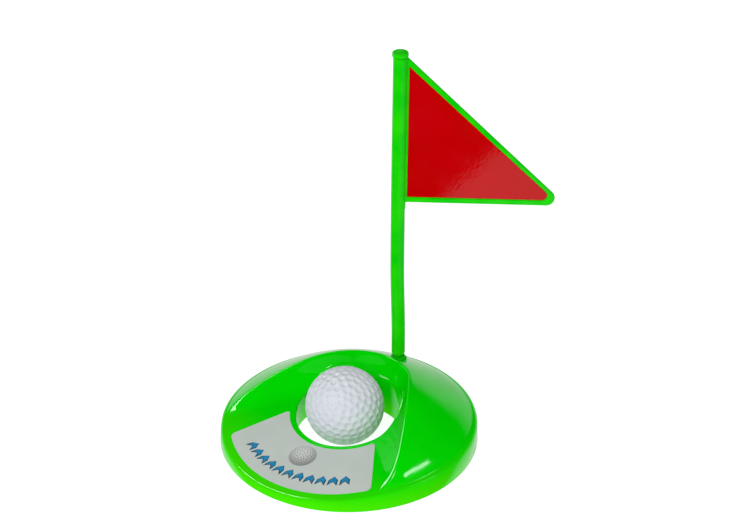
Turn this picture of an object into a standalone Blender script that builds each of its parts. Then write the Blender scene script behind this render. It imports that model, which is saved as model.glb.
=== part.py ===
# Practice putting hole with a flag and a ball.
# Metres, +Z up. The origin lies on the floor on the pole's axis; the ramp faces -Y.

import math

import bmesh
import bpy
from mathutils import Matrix, Vector

for old in list(bpy.data.objects):
    bpy.data.objects.remove(old)

# ---- driving sizes ----------------------------------------------------------

GAP = 0.0003                # clearance between pieces that touch

# base: a hollow dome with a ramp cut into it and a hole through the middle
BASE_RADIUS = 0.0697
BASE_WALL = 0.0018
RIM_HEIGHT = 0.0093         # top of the skirt, level with the hole's centre
RIM_TILT = 0.024            # rise of the skirt's top per length towards the back
SKIRT_DRAFT = 0.0004        # the skirt is this much wider at the floor
RIM_ROUND = 0.0012
DOME_RISE = 0.0376          # from the skirt's top to the dome's peak, which the hole cuts away
DOME_FULLNESS = 1.29        # power of the dome's profile: 1 is a cone

BALL_HOLE_RADIUS = 0.0287
HOLE_ROUND = 0.0010

RAMP_LIP_HEIGHT = 0.0120    # ramp height at the front edge of the hole
RAMP_SLOPE = 0.185
BOWL_HEIGHT = 0.0200        # the ramp's slope levels off here, behind the hole
BOWL_BLEND = 0.0015

WEDGE_ANGLE = math.radians(37.0)   # the channel's walls splay this far from the front
CHANNEL_BACK = 0.0113       # centre of the channel's round end, behind the hole's
CHANNEL_INSET = 0.0076      # behind the hole, the floor starts to turn up this far inside its edge
WALL_CURVE = 0.0140         # radius of that concave turn
WALL_SLOPE_LIMIT = 2.4
CREST_ROUND = 0.0009

# pole socket under the dome
POLE_BEHIND_HOLE = 0.0128   # from the hole's back edge to the pole's axis
SEAT_LIFT = 0.0004          # the seat stands this far above the dome, on the pole's axis
PEG_RADIUS = 0.0031
PEG_LENGTH = 0.0160
SOCKET_WALL = 0.0015
SEAT_LIP = 0.0003           # the post's rim stands this far above the seat inside it
SEAT_RIM = 0.0006           # least width of that rim
COLLAR_RADIUS = 0.0040
COLLAR_HEIGHT = 0.0014
COLLAR_ROUND = 0.0005
PEG_CHAMFER = 0.0006
BORE_SPARE = 0.0006         # the peg's end stays this far above the bore's floor
SPIGOT_RADIUS = 0.0019
SPIGOT_LENGTH = 0.0100

# pole and its cap
POLE_RADIUS = 0.00375
POLE_TOP = 0.2088
POLE_END_ROUND = 0.0026
CAP_RADIUS = 0.00425
CAP_HEIGHT = 0.0026
CAP_ROUND = 0.00087
CAP_NUB_RADIUS = 0.0012
CAP_NUB_TOP_RADIUS = 0.0008
CAP_NUB_HEIGHT = 0.0006
CAP_PLUG_RADIUS = 0.0018
CAP_PLUG_LENGTH = 0.0060

# pennant moulded to the pole
FLAG_HEADING = math.radians(37.4)  # from +X, about the pole's axis
FLAG_HEIGHT = 0.0821        # from the pole's top down to the pennant's lower edge
FLAG_REACH = 0.0814         # from the pole's axis to the tip
FLAG_TIP_RADIUS = 0.0044
FLAG_THICKNESS = 0.0022
FLAG_BORDER = 0.0030        # raised edge along the bottom
FLAG_SLOPE_BORDER = 0.0044  # the sloping raised edge, measured upright beside the pole
FLAG_TIP_BORDER = 0.0039    # from the recess's tip to the pennant's
FLAG_SPINE = 0.0007         # raised strip beside the pole
FLAG_RECESS = 0.0006
FLAG_RECESS_TIP_RADIUS = 0.0030

# labels
LABEL_THICKNESS = 0.00025
LABEL_INNER_MARGIN = 0.0034 # from the hole's edge to the ramp label
LABEL_OUTER_MARGIN = 0.0052 # from the ramp label to the rim
LABEL_SPLAY = math.radians(31.0)   # the ramp label's side edges splay this far from its middle
LABEL_EDGE_OFFSET = 0.0159  # those edges, produced, pass the hole's axis at this distance
LABEL_CORNER = 0.0022
LABEL_TURN = math.radians(6.0)     # the ramp label is stuck on slightly askew

# ball
BALL_RADIUS = 0.021335
BALL_WALL = 0.0015
BALL_LIP = 0.0012           # height of the step where the halves meet
BALL_PLAY = 0.0029          # between the resting ball and the nearest part of the hole's wall
BALL_BEARING = math.radians(11.6)  # the ball rests this way from the hole's axis, from the front
BALL_TILT = math.radians(45.0)
BALL_TURN = math.radians(46.0)

# mesh fineness
AROUND = 80
INNER_RINGS = 8             # from the hole to the channel's crest
OUTER_RINGS = 8             # from the crest to the rim
RING_CROWDING = 1.5         # draws the rings towards the crest
RIM_BAND = 0.0060           # width kept for the outer rings where the ramp runs out
UNDER_RINGS = 8
LATHE_STEPS = 32
CORNER_STEPS = 4
POLE_END_STEPS = 6
TIP_STEPS = 10
BALL_STEPS = 12
SHARP_FROM = math.radians(35.0)
SLOPE_STEP = 0.0002         # over which the upper surface's slope is measured
LABEL_COLUMNS = 24
LABEL_ROWS = 9

# ---- materials --------------------------------------------------------------


def plastic(name, color, roughness):
    material = bpy.data.materials.new(name)
    material.use_nodes = True
    shader = material.node_tree.nodes["Principled BSDF"]
    shader.inputs["Base Color"].default_value = (*color, 1.0)
    shader.inputs["Roughness"].default_value = roughness
    shader.inputs["Metallic"].default_value = 0.0
    material.diffuse_color = (*color, 1.0)
    return material


BASE_GREEN = plastic("base_green", (0.0, 0.68, 0.0), 0.12)
POLE_GREEN = plastic("pole_green", (0.0, 0.50, 0.0), 0.18)
FOOT_GREEN = plastic("foot_green", (0.0, 0.42, 0.0), 0.25)
CAP_GREEN = plastic("cap_green", (0.02, 0.52, 0.01), 0.25)
LABEL_GREY = plastic("label_grey", (0.52, 0.57, 0.54), 0.45)
FLAG_RED = plastic("flag_red", (0.52, 0.0, 0.0), 0.20)
BALL_WHITE = plastic("ball_white", (0.72, 0.74, 0.78), 0.35)

# ---- helpers ----------------------------------------------------------------


def place(mesh_data, name, material, parent):
    body = bpy.data.objects.new(name, mesh_data)
    bpy.context.collection.objects.link(body)
    body.parent = parent
    if material:
        mesh_data.materials.append(material)
        mesh_data.shade_smooth()
        mesh_data.set_sharp_from_angle(angle=SHARP_FROM)
    return body


def empty(name, location, parent=None, turn=0.0):
    marker = bpy.data.objects.new(name, None)
    bpy.context.collection.objects.link(marker)
    marker.parent = parent
    marker.location = location
    marker.rotation_euler = (0.0, 0.0, turn)
    return marker


def closed_mesh(name, bm):
    bmesh.ops.recalc_face_normals(bm, faces=bm.faces)
    mesh_data = bpy.data.meshes.new(name)
    bm.to_mesh(mesh_data)
    bm.free()
    return mesh_data


def lathe(name, profile, steps=LATHE_STEPS):
    """Turns a profile of (radius, height) points, from axis to axis, about Z."""
    bm = bmesh.new()
    verts = [bm.verts.new((radius, 0.0, height)) for radius, height in profile]
    edges = [bm.edges.new(pair) for pair in zip(verts, verts[1:])]
    bmesh.ops.spin(bm, geom=verts + edges, axis=(0, 0, 1), cent=(0, 0, 0),
                   angle=math.tau, steps=steps, use_merge=True)
    bmesh.ops.remove_doubles(bm, verts=bm.verts, dist=1e-7)
    return closed_mesh(name, bm)


def prism(name, outline, thickness):
    """Extrudes an outline in the XZ plane, half the thickness to each side."""
    bm = bmesh.new()
    face = bm.faces.new([bm.verts.new((x, -thickness / 2, z)) for x, z in outline])
    pulled = bmesh.ops.extrude_face_region(bm, geom=[face])["geom"]
    moved = [item for item in pulled if isinstance(item, bmesh.types.BMVert)]
    bmesh.ops.translate(bm, verts=moved, vec=(0, thickness, 0))
    return closed_mesh(name, bm)


def arc(center, radius, start, end, count):
    """Points from angle start to end, both in degrees, in any two axes."""
    points = []
    for step in range(count + 1):
        angle = math.radians(start + (end - start) * step / count)
        points.append((center[0] + radius * math.cos(angle),
                       center[1] + radius * math.sin(angle)))
    return points


def cut(body, cutter, operation="DIFFERENCE"):
    cutter.hide_render = True
    cutter.display_type = "WIRE"
    boolean = body.modifiers.new(cutter.name, "BOOLEAN")
    boolean.operation = operation
    boolean.solver = "EXACT"
    boolean.object = cutter


def cylinder(name, radius, bottom, top, parent, steps=LATHE_STEPS):
    profile = [(0.0, bottom), (radius, bottom), (radius, top), (0.0, top)]
    return place(lathe(name, profile, steps), name, None, parent)


# ---- the base's upper surface ---------------------------------------------------
# These heights are in the base's own frame: the hole's axis is at x = y = 0.


def soft_min(a, b, blend):
    return (a + b) / 2 - math.hypot((a - b) / 2, blend)


def dome_height(x, y):
    share = math.hypot(x, y) / BASE_RADIUS
    return RIM_HEIGHT + RIM_TILT * y + DOME_RISE * (1.0 - share ** DOME_FULLNESS)


def ramp_height(y):
    slope = RAMP_LIP_HEIGHT + RAMP_SLOPE * (y + BALL_HOLE_RADIUS)
    return soft_min(slope, BOWL_HEIGHT, BOWL_BLEND)


def channel_offset(x, y):
    """How far a point lies from the channel's middle line or round end."""
    side, back = abs(x), y - CHANNEL_BACK
    if math.atan2(back, side) < WEDGE_ANGLE:
        return side * math.cos(WEDGE_ANGLE) + back * math.sin(WEDGE_ANGLE)
    return math.hypot(side, back)


def wall_rise(offset):
    """A concave quarter turn that runs on as a straight, steep wall."""
    floor_half_width = BALL_HOLE_RADIUS - CHANNEL_INSET - CHANNEL_BACK
    reach = max(0.0, offset - floor_half_width)
    steep = WALL_CURVE * WALL_SLOPE_LIMIT / math.hypot(1.0, WALL_SLOPE_LIMIT)
    bend = min(reach, steep)
    rise = WALL_CURVE - math.sqrt(WALL_CURVE ** 2 - bend ** 2)
    return rise + WALL_SLOPE_LIMIT * (reach - bend)


def channel_height(x, y):
    return ramp_height(y) + wall_rise(channel_offset(x, y))


def top_height(x, y):
    return soft_min(dome_height(x, y), channel_height(x, y), CREST_ROUND)


def under_height(x, y):
    """The underside keeps the wall's thickness square to the surface."""
    here = top_height(x, y)
    slope_x = (top_height(x + SLOPE_STEP, y) - here) / SLOPE_STEP
    slope_y = (top_height(x, y + SLOPE_STEP) - here) / SLOPE_STEP
    return here - BASE_WALL * math.sqrt(1.0 + slope_x ** 2 + slope_y ** 2)


# ---- places that follow from these sizes ------------------------------------

POLE_SETBACK = BALL_HOLE_RADIUS + POLE_BEHIND_HOLE
SEAT_HEIGHT = dome_height(0.0, POLE_SETBACK) + SEAT_LIFT
COLLAR_BOTTOM = SEAT_HEIGHT + GAP
COLLAR_TOP = COLLAR_BOTTOM + COLLAR_HEIGHT
POLE_BOTTOM = COLLAR_TOP + GAP
FLAG_BOTTOM = POLE_TOP - FLAG_HEIGHT

# ---- base -------------------------------------------------------------------


def spaced(start, end, count, power=1.0):
    return [start + (end - start) * (step / (count - 1)) ** power for step in range(count)]


def rounded_drop(radius, inward, edge_round):
    """Radius and drop of three points round the edge of the upper surface."""
    points = []
    for angle in (90.0, 45.0, 0.0):
        turn = math.radians(angle)
        points.append((radius + inward * edge_round * (1.0 - math.cos(turn)),
                       edge_round * (1.0 - math.sin(turn))))
    return points


def crest_radius(heading):
    """Where the channel's wall meets the dome, or the rim band where the ramp runs out."""
    dx, dy = math.sin(heading), -math.cos(heading)
    near, far = BALL_HOLE_RADIUS + HOLE_ROUND, BASE_RADIUS - RIM_BAND
    if channel_height(dx * far, dy * far) < dome_height(dx * far, dy * far):
        return far
    for _ in range(30):
        middle = (near + far) / 2
        if channel_height(dx * middle, dy * middle) < dome_height(dx * middle, dy * middle):
            near = middle
        else:
            far = middle
    return near


def base_section(heading):
    """One closed cut through the shell, from the hole's foot over the top and back."""
    dx, dy = math.sin(heading), -math.cos(heading)
    tube_inner, tube_outer = BALL_HOLE_RADIUS, BALL_HOLE_RADIUS + BASE_WALL
    skirt_inner = BASE_RADIUS - BASE_WALL
    section = [(tube_inner, 0.0)]
    lip = rounded_drop(tube_inner, 1.0, HOLE_ROUND)
    edge = top_height(dx * (tube_inner + HOLE_ROUND), dy * (tube_inner + HOLE_ROUND))
    section += [(radius, edge - drop) for radius, drop in reversed(lip)]
    crest = crest_radius(heading)
    inside = spaced(crest, tube_inner + HOLE_ROUND, INNER_RINGS, RING_CROWDING)[::-1]
    outside = spaced(crest, BASE_RADIUS - RIM_ROUND, OUTER_RINGS, RING_CROWDING)
    across = inside + outside[1:]
    section += [(radius, top_height(dx * radius, dy * radius)) for radius in across[1:-1]]
    brim = top_height(dx * across[-1], dy * across[-1])
    section += [(radius, brim - drop) for radius, drop in rounded_drop(BASE_RADIUS, -1.0, RIM_ROUND)]
    section += [(BASE_RADIUS + SKIRT_DRAFT, 0.0), (skirt_inner, 0.0)]
    below = spaced(skirt_inner, tube_outer, UNDER_RINGS)
    section += [(radius, under_height(dx * radius, dy * radius)) for radius in below]
    section += [(tube_outer, 0.0)]
    return [Vector((dx * radius, dy * radius, height)) for radius, height in section]


def base_mesh():
    bm = bmesh.new()
    rings = []
    for index in range(AROUND):
        section = base_section(math.tau * index / AROUND)
        rings.append([bm.verts.new(point) for point in section])
    count = len(rings[0])
    for near, far in zip(rings, rings[1:] + rings[:1]):
        for index in range(count):
            after = (index + 1) % count
            bm.faces.new((near[index], near[after], far[after], far[index]))
    return closed_mesh("base_shell", bm)


def make_socket_post(pole_axis):
    """A solid post under the seat. Towards the hole its top ends inside the dome's wall."""
    radius = max(PEG_RADIUS + GAP + SOCKET_WALL, COLLAR_RADIUS + GAP + SEAT_RIM)
    post = cylinder("socket_post", radius, 0.0, SEAT_HEIGHT + SEAT_LIP, pole_axis)
    for vert in post.data.vertices:
        if vert.co.z > SEAT_HEIGHT and vert.co.xy.length > PEG_RADIUS:
            skin = top_height(vert.co.x, vert.co.y + POLE_SETBACK) - BASE_WALL / 2
            vert.co.z = max(vert.co.z, skin)
    return post


def make_base(frame, pole_axis):
    base = place(base_mesh(), "base_shell", BASE_GREEN, frame)
    cut(base, make_socket_post(pole_axis), "UNION")
    bore, seat = PEG_RADIUS + GAP, COLLAR_RADIUS + GAP
    bore_floor = SEAT_HEIGHT - PEG_LENGTH - BORE_SPARE
    profile = [(0.0, bore_floor), (bore, bore_floor), (bore, SEAT_HEIGHT), (seat, SEAT_HEIGHT),
               (seat, POLE_TOP), (0.0, POLE_TOP)]
    cut(base, place(lathe("foot_cut", profile), "foot_cut", None, pole_axis))
    return base


# ---- labels -----------------------------------------------------------------


def label_half_angle(radius):
    return LABEL_SPLAY + math.asin(LABEL_EDGE_OFFSET / radius)


def corner_inset(distance):
    """How far a rounded corner draws the side edge in, this far from the end edge."""
    short = max(0.0, LABEL_CORNER - distance)
    return LABEL_CORNER - math.sqrt(LABEL_CORNER ** 2 - short ** 2)


def ramp_label_mesh(columns=LABEL_COLUMNS, rows=LABEL_ROWS):
    bm = bmesh.new()
    inner = BALL_HOLE_RADIUS + LABEL_INNER_MARGIN
    outer = BASE_RADIUS - LABEL_OUTER_MARGIN
    layers = []
    for lift in (GAP, GAP + LABEL_THICKNESS):
        layer = []
        for row in range(rows + 1):
            share = (1.0 - math.cos(math.pi * row / rows)) / 2
            radius = inner + (outer - inner) * share
            from_end = min(radius - inner, outer - radius)
            half = label_half_angle(radius) - corner_inset(from_end) / radius
            line = []
            for column in range(columns + 1):
                heading = LABEL_TURN + half * (2.0 * column / columns - 1.0)
                x, y = radius * math.sin(heading), -radius * math.cos(heading)
                line.append(bm.verts.new((x, y, top_height(x, y) + lift)))
            layer.append(line)
        layers.append(layer)
    for layer in layers:
        for near, far in zip(layer, layer[1:]):
            for index in range(columns):
                bm.faces.new((near[index], near[index + 1], far[index + 1], far[index]))
    rims = []
    for layer in layers:
        right = [line[-1] for line in layer[1:-1]]
        left = [line[0] for line in layer[1:-1]]
        rims.append(layer[0] + right + layer[-1][::-1] + left[::-1])
    low, high = rims
    for index in range(len(low)):
        after = (index + 1) % len(low)
        bm.faces.new((low[index], low[after], high[after], high[index]))
    return closed_mesh("ramp_label", bm)


def pennant(left, bottom, top, reach, tip_radius):
    """A triangle with an upright left edge, a level bottom and a round tip."""
    tip = (reach - tip_radius, bottom + tip_radius)
    rise, run = top - tip[1], tip[0] - left
    slope = math.atan2(rise, run) - math.asin(tip_radius / math.hypot(rise, run))
    round_tip = arc(tip, tip_radius, -90.0, 90.0 - math.degrees(slope), TIP_STEPS)
    return [(left, bottom)] + round_tip + [(left, top)]


def recess_outline(margin):
    """The pocket for a flag label, or with a margin the label that lies in it."""
    slope = math.atan2(FLAG_HEIGHT, FLAG_REACH)
    corner = margin * math.tan(math.pi / 4 + slope / 2)
    return pennant(POLE_RADIUS + FLAG_SPINE + margin, FLAG_BOTTOM + FLAG_BORDER + margin,
                   POLE_TOP - FLAG_SLOPE_BORDER - corner,
                   FLAG_REACH - FLAG_TIP_BORDER - margin, FLAG_RECESS_TIP_RADIUS - margin)


def make_flag_label(name, side, parent):
    label = place(prism(name, recess_outline(GAP), LABEL_THICKNESS), name, FLAG_RED, parent)
    web_face = FLAG_THICKNESS / 2 - FLAG_RECESS
    label.location = (0.0, side * (web_face + GAP + LABEL_THICKNESS / 2), 0.0)
    return label


# ---- flag, foot and cap --------------------------------------------------------


def make_flag(parent):
    shoulder = (POLE_RADIUS - POLE_END_ROUND, POLE_BOTTOM + POLE_END_ROUND)
    rounding = arc(shoulder, POLE_END_ROUND, -90.0, 0.0, POLE_END_STEPS)
    profile = [(0.0, POLE_BOTTOM)] + rounding + [(POLE_RADIUS, POLE_TOP), (0.0, POLE_TOP)]
    pole = place(lathe("flag_pole", profile), "flag_pole", POLE_GREEN, parent)
    outline = pennant(0.0, FLAG_BOTTOM, POLE_TOP + POLE_RADIUS, FLAG_REACH, FLAG_TIP_RADIUS)
    plate = place(prism("flag_plate", outline, FLAG_THICKNESS), "flag_plate", None, parent)
    over = 2 * POLE_RADIUS
    cut(plate, cylinder("plate_trim", over, POLE_TOP, POLE_TOP + over, parent))
    cut(pole, plate, "UNION")
    for side in (-1, 1):
        name = "recess_front" if side < 0 else "recess_back"
        pocket = place(prism(name, recess_outline(0.0), FLAG_THICKNESS), name, None, parent)
        pocket.location = (0.0, side * (FLAG_THICKNESS - FLAG_RECESS), 0.0)
        cut(pole, pocket)
    spigot_bore = cylinder("spigot_bore", SPIGOT_RADIUS + GAP, POLE_BOTTOM - COLLAR_HEIGHT,
                           POLE_BOTTOM + SPIGOT_LENGTH, parent)
    cut(pole, spigot_bore)
    plug_bore = cylinder("plug_bore", CAP_PLUG_RADIUS + GAP, POLE_TOP - CAP_PLUG_LENGTH,
                         POLE_TOP + CAP_HEIGHT, parent)
    cut(pole, plug_bore)
    return pole


def make_foot(parent):
    """The plug the pole turns on: peg below, collar between, spigot above."""
    peg_end = SEAT_HEIGHT - PEG_LENGTH
    spigot_top = COLLAR_TOP + SPIGOT_LENGTH - GAP
    profile = [(0.0, peg_end), (PEG_RADIUS - PEG_CHAMFER, peg_end),
               (PEG_RADIUS, peg_end + PEG_CHAMFER), (PEG_RADIUS, COLLAR_BOTTOM),
               (COLLAR_RADIUS, COLLAR_BOTTOM), (COLLAR_RADIUS, COLLAR_TOP - COLLAR_ROUND),
               (COLLAR_RADIUS - COLLAR_ROUND, COLLAR_TOP), (SPIGOT_RADIUS, COLLAR_TOP),
               (SPIGOT_RADIUS, spigot_top), (0.0, spigot_top)]
    return place(lathe("pole_foot", profile), "pole_foot", FOOT_GREEN, parent)


def make_cap(parent):
    bottom = POLE_TOP + GAP
    top = bottom + CAP_HEIGHT
    plug_end = POLE_TOP - CAP_PLUG_LENGTH + 2 * GAP
    rim = arc((CAP_RADIUS - CAP_ROUND, top - CAP_ROUND), CAP_ROUND, 0.0, 90.0, CORNER_STEPS)
    profile = [(0.0, plug_end), (CAP_PLUG_RADIUS, plug_end), (CAP_PLUG_RADIUS, bottom),
               (CAP_RADIUS - CAP_ROUND / 2, bottom), (CAP_RADIUS, bottom + CAP_ROUND / 2)] + rim
    profile += [(CAP_NUB_RADIUS, top), (CAP_NUB_TOP_RADIUS, top + CAP_NUB_HEIGHT),
                (0.0, top + CAP_NUB_HEIGHT)]
    return place(lathe("pole_cap", profile), "pole_cap", CAP_GREEN, parent)


# ---- ball -------------------------------------------------------------------


def ball_profile(outer_step):
    """Half a hollow ball. One half carries the outer step of the joint, one the inner."""
    inner = BALL_RADIUS - BALL_WALL
    middle = BALL_RADIUS - BALL_WALL / 2
    shell = arc((0.0, 0.0), BALL_RADIUS, 90.0, 0.0, BALL_STEPS)
    hollow = arc((0.0, 0.0), inner, 0.0, 90.0, BALL_STEPS)
    outer_foot, inner_foot = GAP / 2, GAP / 2
    if outer_step:
        outer_foot -= BALL_LIP
        joint = [(BALL_RADIUS * math.cos(math.asin(BALL_LIP / BALL_RADIUS)), outer_foot),
                 (middle + GAP / 2, outer_foot), (middle + GAP / 2, inner_foot), (inner, inner_foot)]
        return shell[:-1] + [(BALL_RADIUS, 0.0)] + joint + hollow[1:]
    joint = [(math.sqrt(BALL_RADIUS ** 2 - (BALL_LIP + GAP / 2) ** 2), BALL_LIP + GAP / 2),
             (middle - GAP / 2, BALL_LIP + GAP / 2), (middle - GAP / 2, inner_foot), (inner, inner_foot)]
    above = [point for point in shell if point[1] > BALL_LIP + GAP]
    return above + joint + hollow[1:]


def make_ball(center):
    near = place(lathe("ball_half_near", ball_profile(True)), "ball_half_near", BALL_WHITE, center)
    far = place(lathe("ball_half_far", ball_profile(False)), "ball_half_far", BALL_WHITE, center)
    far.rotation_euler = (math.pi, 0.0, 0.0)
    return near, far


# ---- assembly ----------------------------------------------------------------

base_frame = empty("base_frame", (0.0, -POLE_SETBACK, 0.0))
pole_axis = empty("pole_axis", (0.0, 0.0, 0.0))
flag_axis = empty("flag_axis", (0.0, 0.0, 0.0), turn=FLAG_HEADING)
ball_offset = BALL_HOLE_RADIUS - BALL_RADIUS - BALL_PLAY
ball_right, ball_front = ball_offset * math.sin(BALL_BEARING), ball_offset * math.cos(BALL_BEARING)
ball_center = empty("ball_center", (ball_right, -ball_front, BALL_RADIUS), base_frame)
ball_center.rotation_euler = (Matrix.Rotation(BALL_TURN, 4, "Z")
                              @ Matrix.Rotation(BALL_TILT, 4, "X")).to_euler()

make_base(base_frame, pole_axis)
place(ramp_label_mesh(), "ramp_label", LABEL_GREY, base_frame)
make_foot(pole_axis)
make_flag(flag_axis)
make_cap(flag_axis)
make_flag_label("flag_label_front", -1, flag_axis)
make_flag_label("flag_label_back", 1, flag_axis)
make_ball(ball_center)
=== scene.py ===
import math

import bmesh
import bpy
import numpy as np
from mathutils import Matrix, Vector, kdtree


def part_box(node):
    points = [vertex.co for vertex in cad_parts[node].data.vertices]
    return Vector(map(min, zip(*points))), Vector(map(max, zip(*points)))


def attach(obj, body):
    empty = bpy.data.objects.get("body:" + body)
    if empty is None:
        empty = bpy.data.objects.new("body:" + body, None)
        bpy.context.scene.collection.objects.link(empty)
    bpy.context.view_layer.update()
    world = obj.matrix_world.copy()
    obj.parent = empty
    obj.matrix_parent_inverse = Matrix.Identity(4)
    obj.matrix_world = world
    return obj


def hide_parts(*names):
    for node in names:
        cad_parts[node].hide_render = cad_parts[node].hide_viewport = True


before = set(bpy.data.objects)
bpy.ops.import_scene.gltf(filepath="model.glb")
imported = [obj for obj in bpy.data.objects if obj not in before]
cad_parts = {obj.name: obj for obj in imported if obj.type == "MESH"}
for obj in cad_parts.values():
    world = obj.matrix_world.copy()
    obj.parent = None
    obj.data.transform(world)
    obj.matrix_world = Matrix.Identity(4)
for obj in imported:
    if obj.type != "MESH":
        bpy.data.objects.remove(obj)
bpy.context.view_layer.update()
print("frame loaded with", len(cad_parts), "nodes")

# ring lists and small mesh tools


def addPiece(name, points, faces, finish, sharpFrom=35.0):
    mesh = bpy.data.meshes.new(name)
    mesh.from_pydata([tuple(point) for point in points], [], [tuple(face) for face in faces])
    bm = bmesh.new()
    bm.from_mesh(mesh)
    bmesh.ops.recalc_face_normals(bm, faces=bm.faces)
    bm.to_mesh(mesh)
    bm.free()
    mesh.materials.append(finish)
    mesh.shade_smooth()
    mesh.set_sharp_from_angle(angle=math.radians(sharpFrom))
    piece = bpy.data.objects.new(name, mesh)
    bpy.context.scene.collection.objects.link(piece)
    return piece


# joins equal rings of points into quads; ends may be closed with one face each
def loftRings(rings, closeEnds=True, wrapRings=False):
    count = len(rings[0])
    points = [point for ring in rings for point in ring]
    faces = []
    pairs = list(zip(range(len(rings)), range(1, len(rings))))
    if wrapRings:
        pairs.append((len(rings) - 1, 0))
    for near, far in pairs:
        for step in range(count):
            after = (step + 1) % count
            faces.append((near * count + step, near * count + after,
                          far * count + after, far * count + step))
    if closeEnds:
        faces.append(tuple(range(count)))
        faces.append(tuple((len(rings) - 1) * count + step for step in range(count)))
    return points, faces


axisFlat = 0.0001  # a turned solid's ends close with a flat this far round the axis


# turns (radius, height) points about the Z axis
def turnedSolid(profile, steps=96, center=(0.0, 0.0)):
    rings = []
    for radius, height in profile:
        rings.append([(center[0] + radius * math.cos(math.tau * step / steps),
                       center[1] + radius * math.sin(math.tau * step / steps), height)
                      for step in range(steps)])
    return loftRings(rings)


def arcPoints(center, radius, start, end, count):
    points = []
    for step in range(count + 1):
        angle = math.radians(start + (end - start) * step / count)
        points.append((center[0] + radius * math.cos(angle), center[1] + radius * math.sin(angle)))
    return points


# joins or cuts solids for good, then marks the sharp edges again
def joinOrCut(piece, others, sharpFrom=35.0):
    for operation, other in others:
        modifier = piece.modifiers.new(operation, "BOOLEAN")
        modifier.operation = operation
        modifier.solver = "EXACT"
        modifier.object = other
    bpy.context.view_layer.update()
    graph = bpy.context.evaluated_depsgraph_get()
    done = bpy.data.meshes.new_from_object(piece.evaluated_get(graph))
    piece.modifiers.clear()
    piece.data = done
    for _, other in others:
        bpy.data.objects.remove(other)
    done.shade_smooth()
    done.set_sharp_from_angle(angle=math.radians(sharpFrom))
    return piece


# finishes: every one is moulded or printed plastic, so one recipe serves with other values


def makeFinish(name, look):
    material = bpy.data.materials.new(name)
    material.use_nodes = True
    nodes, links = material.node_tree.nodes, material.node_tree.links
    shader = nodes["Principled BSDF"]
    shader.inputs["IOR"].default_value = look.get("ior", 1.5)
    shader.inputs["Specular IOR Level"].default_value = look.get("gloss", 0.5)
    where = nodes.new("ShaderNodeTexCoord").outputs["Object"]

    def noise(scale, detail=3.0):
        node = nodes.new("ShaderNodeTexNoise")
        node.inputs["Scale"].default_value = scale
        node.inputs["Detail"].default_value = detail
        links.new(where, node.inputs["Vector"])
        return node.outputs["Fac"]

    def spread(value, low, high, fromLow=0.0, fromHigh=1.0):
        node = nodes.new("ShaderNodeMapRange")
        node.inputs["From Min"].default_value = fromLow
        node.inputs["From Max"].default_value = fromHigh
        node.inputs["To Min"].default_value = low
        node.inputs["To Max"].default_value = high
        links.new(value, node.inputs["Value"])
        return node.outputs["Result"]

    def mixColors(share, first, second):
        node = nodes.new("ShaderNodeMix")
        node.data_type = "RGBA"
        links.new(share, node.inputs["Factor"])
        for socket, color in ((node.inputs["A"], first), (node.inputs["B"], second)):
            if isinstance(color, tuple):
                socket.default_value = (*color, 1.0)
            else:
                links.new(color, socket)
        return node.outputs["Result"]

    cloud = spread(noise(look["cloudScale"]), 0.0, 1.0, 0.35, 0.65)
    color = mixColors(cloud, look["color"], look["cloudColor"])
    # low down, towards the floor, the colour turns a lighter yellow-green: painted bounce light
    # from the floor
    if "bounceLitColor" in look:
        split = nodes.new("ShaderNodeSeparateXYZ")
        links.new(where, split.inputs["Vector"])
        low, high = look["bounceLitBetween"]
        color = mixColors(spread(split.outputs["Z"], 1.0, 0.0, low, high), color, look["bounceLitColor"])
    links.new(color, shader.inputs["Base Color"])
    links.new(spread(noise(look["smudgeScale"]), *look["roughness"], 0.3, 0.7),
              shader.inputs["Roughness"])

    bumped = None
    for scale, depth in look["waves"]:
        bump = nodes.new("ShaderNodeBump")
        bump.inputs["Strength"].default_value = 1.0
        bump.inputs["Distance"].default_value = depth
        links.new(noise(scale, 2.0), bump.inputs["Height"])
        if bumped:
            links.new(bumped, bump.inputs["Normal"])
        bumped = bump.outputs["Normal"]
    links.new(bumped, shader.inputs["Normal"])
    return material


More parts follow.
